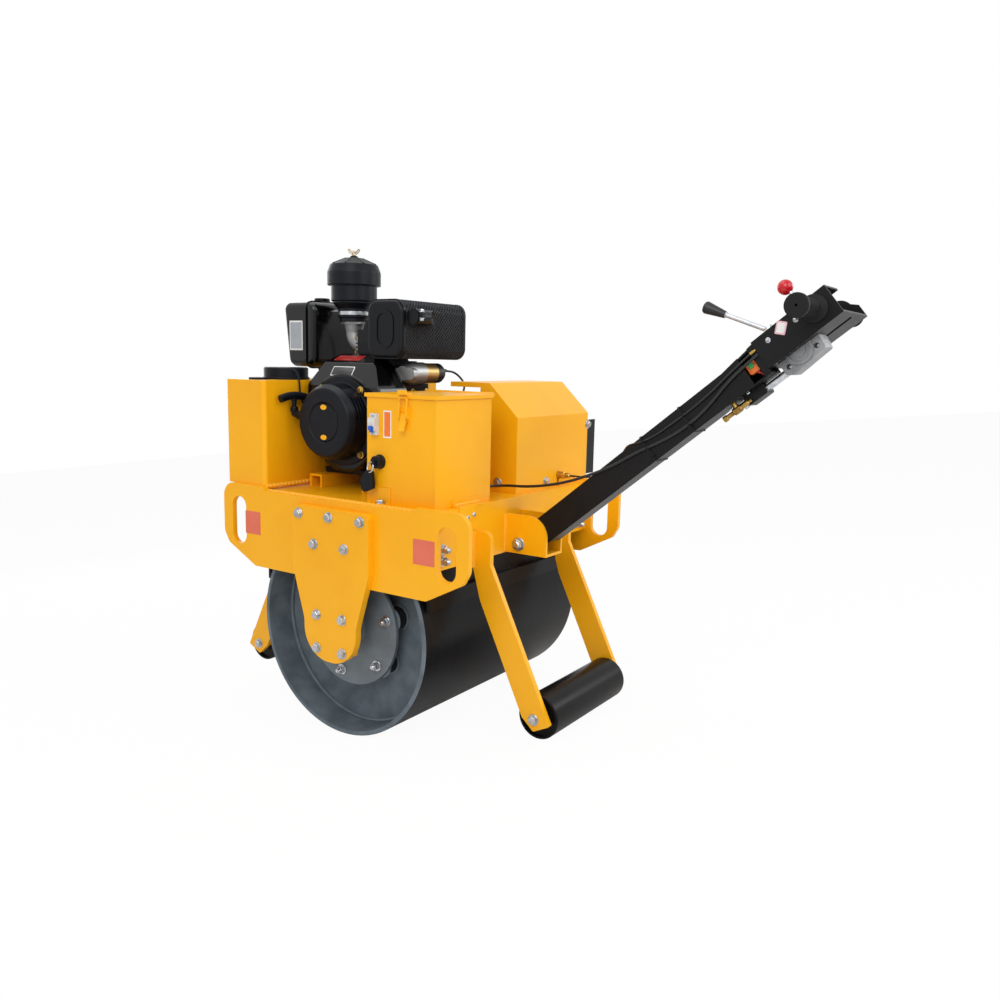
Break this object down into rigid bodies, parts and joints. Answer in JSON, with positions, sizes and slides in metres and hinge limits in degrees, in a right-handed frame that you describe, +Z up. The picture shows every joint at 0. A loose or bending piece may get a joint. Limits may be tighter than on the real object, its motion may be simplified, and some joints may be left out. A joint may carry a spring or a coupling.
{
  "type": "walk-behind vibratory road roller",
  "caption": "Walk-behind single-drum vibratory road roller with a diesel engine, tiller handle, support rollers front and rear, and a lidded control box.",
  "frame": {"origin": "on the ground, under the middle of the drum", "axes": "+X forwards, towards the tank end; +Y to the left; +Z up, as the machine rests on its drum and rear support roller"},
  "size_m": [1.4729, 0.721, 1.068],
  "materials": {
    "yellow_paint": "gloss yellow powder coat",
    "black_paint": "satin black powder coat",
    "drum_steel": "satin black drum paint",
    "disc_grey": "grey primer",
    "rubber_black": "matt",
    "engine_black": "black painted casting",
    "cast_grey": "bare casting",
    "zinc": "zinc plated",
    "plastic_black": "matt",
    "plastic_red": "gloss",
    "plastic_pale": "matt",
    "roller_black": "satin black",
    "brass": "bare"
  },
  "bodies": {
    "frame": {"air_filter": "plastic_black", "battery": "plastic_black", "bearing_left": "yellow_paint", "bearing_right": "yellow_paint", "belt_guard": "yellow_paint", "breaker": "plastic_pale", "control_box": "yellow_paint", "crankcase": "engine_black", "cylinder": "engine_black", "deck_frame": "yellow_paint", "engine_rails": "yellow_paint", "exhaust_outlet": "black_paint", "fan_cowl": "engine_black", "front_axle": "zinc", "front_tank": "yellow_paint", "fuel_cap": "plastic_black", "fuel_tank": "black_paint", "handle_bracket": "yellow_paint", "handle_pivot": "zinc", "hanger_left": "yellow_paint", "hanger_right": "yellow_paint", "hood": "yellow_paint", "hood_bracket": "black_paint", "hydraulic_pump": "cast_grey", "intake_elbow": "cast_grey", "key_switch": "plastic_black", "leg_front_left": "yellow_paint", "leg_front_right": "yellow_paint", "leg_rear_left": "yellow_paint", "leg_rear_right": "yellow_paint", "lid_latch": "yellow_paint", "muffler": "black_paint", "pull_handle": "plastic_black", "rear_axle": "zinc", "recoil_starter": "plastic_black", "scraper_front": "roller_black", "scraper_rear": "roller_black", "side_plate_left": "yellow_paint", "side_plate_right": "yellow_paint", "starter_motor": "cast_grey", "tank_cap": "plastic_black", "tank_strap": "black_paint"},
    "drum": {"drum_shell": "drum_steel", "isolator_disc_left": "disc_grey", "isolator_disc_right": "disc_grey", "rubber_mounts_left": "rubber_black", "rubber_mounts_right": "rubber_black"},
    "rear_roller": {"rear_roller": "roller_black"},
    "front_roller": {"front_roller": "roller_black"},
    "handle": {"control_rods": "zinc", "drain_cock": "brass", "grip_left": "rubber_black", "grip_right": "rubber_black", "handle_arm": "black_paint", "handle_cables": "rubber_black", "handle_head": "black_paint", "speed_lever": "zinc", "throttle_lever": "plastic_red", "valve_housing": "cast_grey"},
    "lid": {"box_lid": "yellow_paint"}
  },
  "joints": [
    {"name": "drum_spin", "type": "hinge", "parent": "frame", "child": "drum", "pos_m": [0, 0, 0.235], "axis": [0, 1, 0], "continuous": true},
    {"name": "rear_roller_spin", "type": "hinge", "parent": "frame", "child": "rear_roller", "pos_m": [-0.39565, 0, 0.047], "axis": [0, 1, 0], "continuous": true},
    {"name": "front_roller_spin", "type": "hinge", "parent": "frame", "child": "front_roller", "pos_m": [0.4259, 0, 0.13257], "axis": [0, 1, 0], "continuous": true},
    {"name": "handle_pivot", "type": "hinge", "parent": "frame", "child": "handle", "pos_m": [-0.30781, 0.0165, 0.39095], "axis": [0, 1, 0], "range_deg": [0, 50], "deforming": ["handle_cables"]},
    {"name": "box_lid_hinge", "type": "hinge", "parent": "frame", "child": "lid", "pos_m": [-0.19693, 0.078, 0.72604], "axis": [0.9946, 0, 0.1036], "range_deg": [0, 55]}
  ]
}
